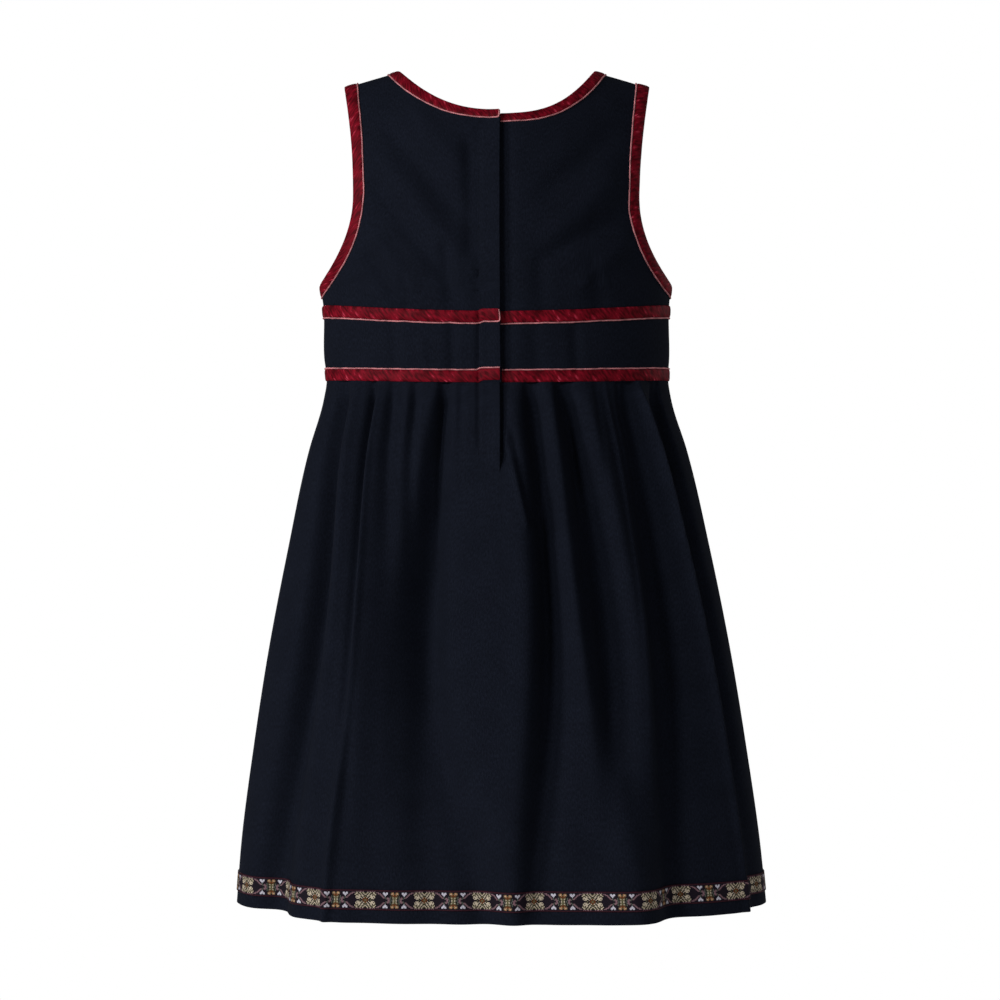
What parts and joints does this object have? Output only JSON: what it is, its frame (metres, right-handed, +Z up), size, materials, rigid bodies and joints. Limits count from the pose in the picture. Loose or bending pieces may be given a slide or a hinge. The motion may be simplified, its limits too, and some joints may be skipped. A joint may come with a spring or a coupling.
{
  "type": "sleeveless child's bunad dress",
  "caption": "Child's sleeveless bunad dress in navy wool with velvet ribbon edges, a fitted waistband, a gathered skirt and a woven band above the hem.",
  "frame": {"origin": "between the inner ends of the two shoulder seams, where the wearer's shoulders hold the dress up", "axes": "+Z up, -Y towards the dress's back, which is the side the picture shows, +X towards its own right"},
  "size_m": [0.4237, 0.2576, 0.669],
  "materials": {
    "wool": "matte wool",
    "velvet_ribbon": "crushed velvet",
    "piping": "satin",
    "woven_band": "jacquard weave"
  },
  "bodies": {
    "root": {"armhole_left_piping": "piping", "armhole_left_ribbon": "velvet_ribbon", "armhole_right_piping": "piping", "armhole_right_ribbon": "velvet_ribbon", "bodice_back_left": "wool", "bodice_back_right": "wool", "bodice_front": "wool", "hem_band_back_left": "woven_band", "hem_band_back_right": "woven_band", "hem_band_front": "woven_band", "neck_back_left_piping": "piping", "neck_back_left_ribbon": "velvet_ribbon", "neck_back_right_piping": "piping", "neck_back_right_ribbon": "velvet_ribbon", "neck_front_piping": "piping", "neck_front_ribbon": "velvet_ribbon", "skirt_back_left": "wool", "skirt_back_right": "wool", "skirt_front": "wool", "waist_lower_back_left_piping": "piping", "waist_lower_back_left_ribbon": "velvet_ribbon", "waist_lower_back_right_piping": "piping", "waist_lower_back_right_ribbon": "velvet_ribbon", "waist_lower_front_piping": "piping", "waist_lower_front_ribbon": "velvet_ribbon", "waist_upper_back_left_piping": "piping", "waist_upper_back_left_ribbon": "velvet_ribbon", "waist_upper_back_right_piping": "piping", "waist_upper_back_right_ribbon": "velvet_ribbon", "waist_upper_front_piping": "piping", "waist_upper_front_ribbon": "velvet_ribbon", "waistband_back_left": "wool", "waistband_back_right": "wool", "waistband_front": "wool"}
  },
  "joints": []
}
